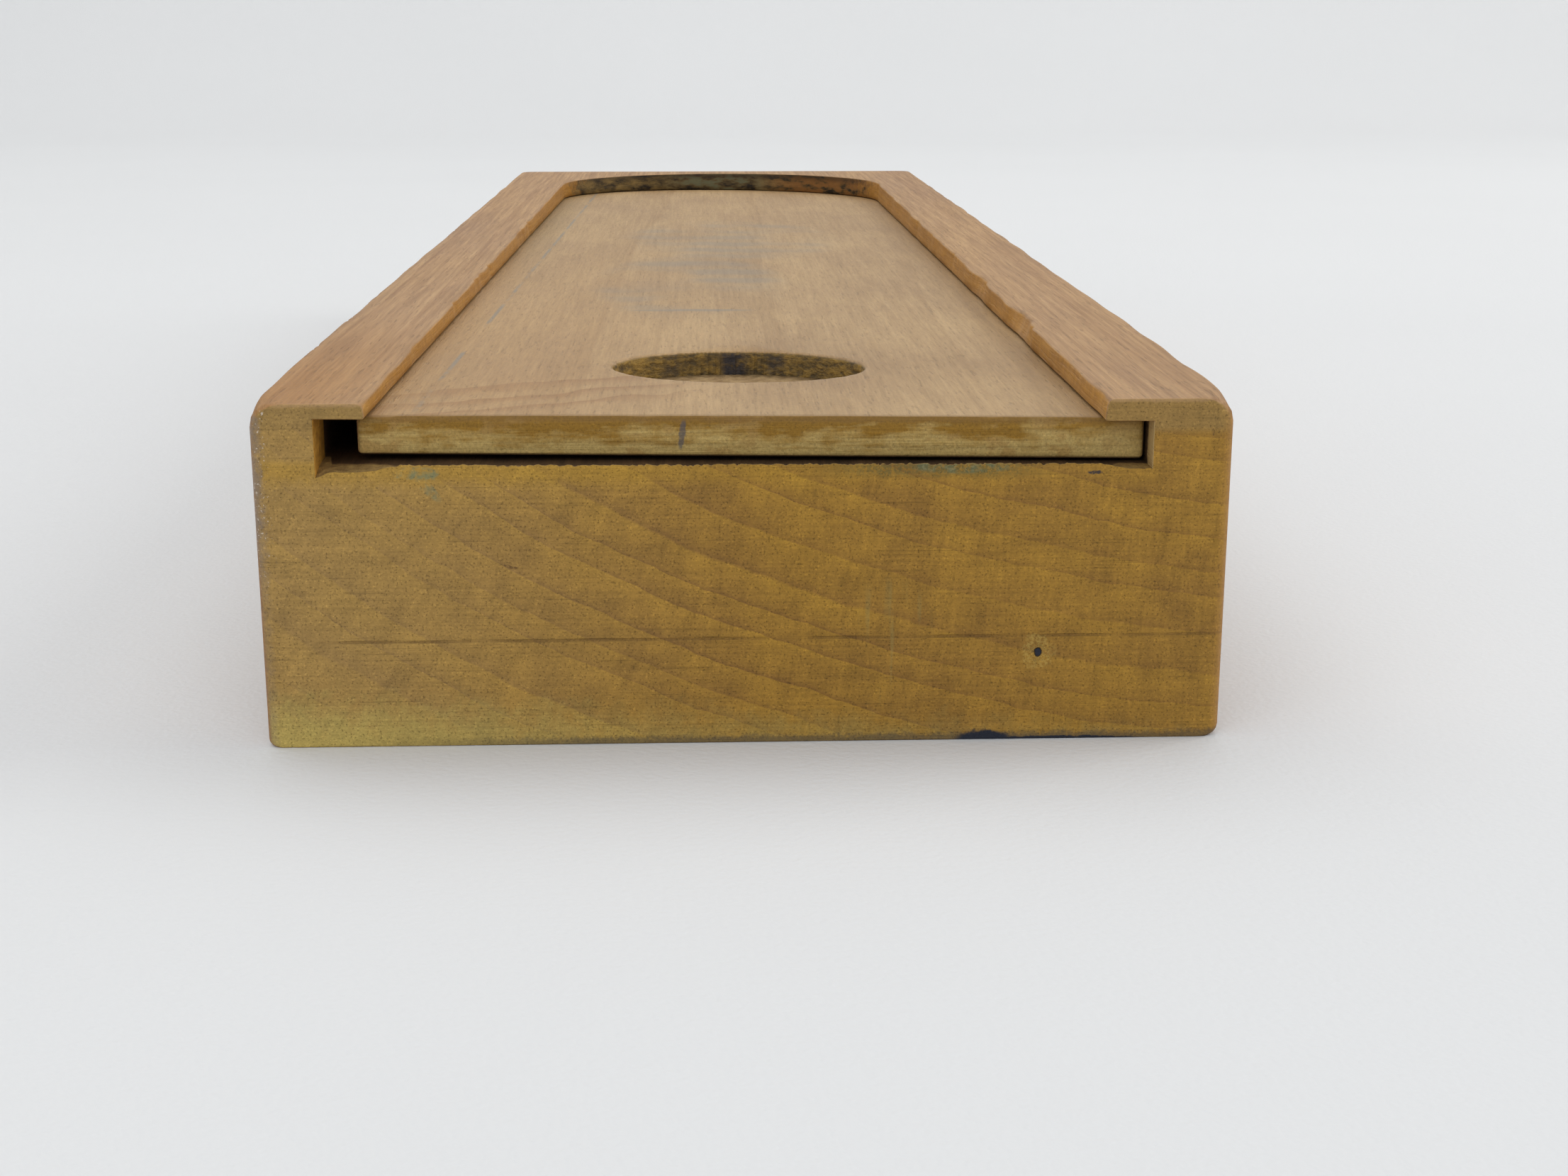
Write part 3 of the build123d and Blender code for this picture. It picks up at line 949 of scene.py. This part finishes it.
    # the thumb recess: dark mottled wall, brown floor
    overX = (x - lid["recessX"]) / (lid["recessHalfX"] + 0.12)
    overY = (depth - lid["recessDepth"]) / (lid["recessHalfY"] + 0.12)
    inOval = (overX * overX + overY * overY) ** 0.5
    sunk = belowTop - depth * pitchSlope
    cut = inOval.step(1.01, 0.99) * sunk.step(0.05, 0.18)
    soot = place.noise((0.5, 0.5, 1.4), 3.0, 0.7, shift=171.0)
    ochre = place.noise((1.1, 1.1, 2.2), 3.0, 0.7, shift=177.0)
    pick = (ochre - 0.5) * 3.0 + 0.3 + x.step(-2.0, -8.0) * 0.35 + x.step(4.0, 9.0) * 0.15
    wall = pick.mix(tone["wallDark"], tone["wallLight"])
    sooty = either(either(x.near(-0.3, 1.3), x.near(2.7, 0.9) * 0.6), x.near(-4.6, 0.8) * 0.5)
    wall = (sooty * soot.step(0.3, 0.55) * 0.9).mix(wall, tone["soot"])
    wall = (soot.step(0.55, 0.7) * 0.5).mix(wall, tone["sootBrown"])
    bottom = ((ochre - 0.5) * 2.5 + 0.5).mix(tone["bottomDark"], tone["bottomLight"])
    bottom = ((inOval + tatter * 0.5).step(0.6, 1.02) * 0.8).mix(bottom, tone["bottomRim"])
    pit = (sunk + tatter * 0.5).step(1.0, 1.55) * nz.step(0.5, 0.85)
    base = cut.mix(base, pit.mix(wall, bottom))

    # edges: rubbed darker along the lid's own rim, oily below
    rim = ((depth - lid["setIn"]) + sunk + tatter * 0.35).step(0.55, 0.2)
    base = (rim * 0.45).mix(base, tone["rim"])
    below = (tatter * 2.0 + fibre).mix(wood["oilShadeDark"], tone["under"])
    base = (nz.step(-0.3, -0.8) * 0.8).mix(base, below)

    alongRelief = fibre * 0.03 + fine * 0.025 - pores * 0.02 + grit * 0.01
    relief = endFace * (level * 0.05 + grit * 0.03) + (1.0 - endFace) * alongRelief + cut * ochre * 0.25
    roughness = 0.55 + (cloud - 0.5) * 0.2 + grain * 0.15 + cut * 0.2
    closeFinish(start, base, roughness, relief, 1.0, wood["specular"])
    return material


lidWood.data.materials.append(makeLidFinish())
print("lid finish")


stoneTone = dict(
    light=(0.5, 0.465, 0.395), dark=(0.33, 0.315, 0.275), vein=(0.24, 0.215, 0.175),
    oiled=(0.185, 0.155, 0.112), speck=(0.1, 0.085, 0.065), specular=0.35,
)


def makeStoneFinish():
    # clouds and thin veins, darkened by old oil on the worked strip along the middle of the top
    tone = stoneTone
    material, start, place, normal = newFinish("oilstone")
    cloud = place.noise((0.08, 0.05, 0.08), 4.0, 0.6)
    grit = place.noise(5.0, 3.0, 0.7)
    veins = place.noise((0.1, 0.035, 0.1), 4.0, 0.7, shift=205.0)
    rubbed = place.noise((1.2, 0.05, 1.2), 3.0, 0.65, shift=211.0)
    speck = place.noise(3.0, 1.0, 0.5, shift=217.0).step(0.66, 0.74)
    fromMiddle = abs(place.split()[0])
    worked = (fromMiddle + (cloud - 0.5) * 16.0).step(19.0, 9.0) * normal.split()[2].step(0.5, 0.9)
    base = cloud.mix(tone["light"], tone["dark"])
    base = (veins.near(0.5, 0.035) * 0.35).mix(base, tone["vein"])
    base = (worked * (0.35 + (rubbed - 0.5) * 1.1)).mix(base, tone["oiled"])
    base = (speck * 0.45).mix(base, tone["speck"])
    base = base.shade(1.0 + (grit - 0.5) * 0.3 + (rubbed - 0.5) * 0.16)
    roughness = 0.42 + (cloud - 0.5) * 0.2 - worked * 0.1
    closeFinish(start, base, roughness, grit + rubbed * 0.5, 0.03, tone["specular"])
    return material


oilstoneBar.data.materials.append(makeStoneFinish())
print("stone finish")

for piece, node, body, slotName in (
    (caseWood, "case_body", "case", "case_wood"),
    (lidWood, "sliding_lid", "lid", "lid_wood"),
    (oilstoneBar, "whetstone", "case", "oilstone"),
):
    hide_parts(node)
    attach(piece, body)
print("pieces ride on their bodies")


studio = dict(
    floorShade=(0.8, 0.805, 0.81),
    floorReach=1500.0, floorFront=-1200.0, floorBack=600.0, floorBend=250.0, floorTop=1400.0,
    skyShade=(0.93, 0.96, 1.0), skyStrength=0.405,
    lights=dict(              # place in metres, width and height in metres, power in watts, colour
        keyBehind=((-0.15, 0.4, 1.05), (1.5, 1.1), 6.2, (1.0, 0.99, 0.96)),
        sideRight=((0.85, 0.15, 0.55), (0.6, 0.6), 3.0, (1.0, 0.98, 0.95)),
        frontFill=((-0.2, -0.9, 0.6), (1.6, 1.0), 5.0, (0.96, 0.98, 1.0)),
    ),
)


def makeFloor():
    # a wide pale sheet that curves up behind: a quarter circle between two flat runs
    across = np.linspace(-studio["floorReach"], studio["floorReach"], 5)
    turn = quarterTurn(17)
    bend, back = studio["floorBend"], studio["floorBack"]
    run = np.concatenate([[studio["floorFront"]], back + bend * np.sin(turn), [back + bend]])
    lift = np.concatenate([[0.0], bend * (1.0 - np.cos(turn)), [studio["floorTop"]]])
    grid = stack(across[None, :], run[:, None], lift[:, None]) * mm
    faces = gridFaces(len(run), len(across), 0)[:, ::-1]
    mesh = bpy.data.meshes.new("floor")
    mesh.from_pydata(grid.reshape(-1, 3).tolist(), [], faces.tolist())
    mesh.shade_smooth()
    floor = addObject("floor", mesh)
    material, start, place = newFinish("floorCloth")[:3]
    soft = place.noise(0.01, 2.0)
    weave = place.noise(2.2, 1.0)
    base = soft.mix(studio["floorShade"], tuple(0.97 * c for c in studio["floorShade"]))
    closeFinish(start, base, 0.9 + (soft - 0.5) * 0.05, weave, 0.05, 0.1)
    mesh.materials.append(material)
    return floor


def makeLight(name, place, size, power, shade):
    # a rectangular lamp turned from its place towards the origin
    lamp = bpy.data.lights.new(name, "AREA")
    lamp.shape = "RECTANGLE"
    lamp.size, lamp.size_y = size
    lamp.energy = power
    lamp.color = shade
    light = addObject(name, lamp)
    turn = math.atan2(-place[1], -place[0])
    tip = math.atan2(math.hypot(place[0], place[1]), place[2])
    light.location = place
    light.rotation_euler = (tip, 0.0, turn - math.pi / 2.0)


makeFloor()
for name, settings in studio["lights"].items():
    makeLight(name, *settings)

world = bpy.data.worlds.new("studio")
world.use_nodes = True
sky = world.node_tree.nodes["Background"].inputs
sky["Color"].default_value = (*studio["skyShade"], 1.0)
sky["Strength"].default_value = studio["skyStrength"]
bpy.context.scene.world = world
bpy.context.scene.view_settings.view_transform = "Standard"

view = dict(
    place=(-2.55, -121.5, 41.4),        # from the middle of the mouth, in millimetres
    pitch=14.7, yaw=2.234, lens=49.27, sensor=36.0,
)
lens = bpy.data.cameras.new("camera")
lens.lens = view["lens"]
lens.sensor_width = view["sensor"]
lens.clip_start = 0.01
camera = addObject("camera", lens)
camera.location = (view["place"][0] * mm, (mouthY + view["place"][1]) * mm, view["place"][2] * mm)
camera.rotation_euler = (math.radians(90.0 - view["pitch"]), 0.0, math.radians(-view["yaw"]))
bpy.context.scene.camera = camera
print("floor, light and camera are set")
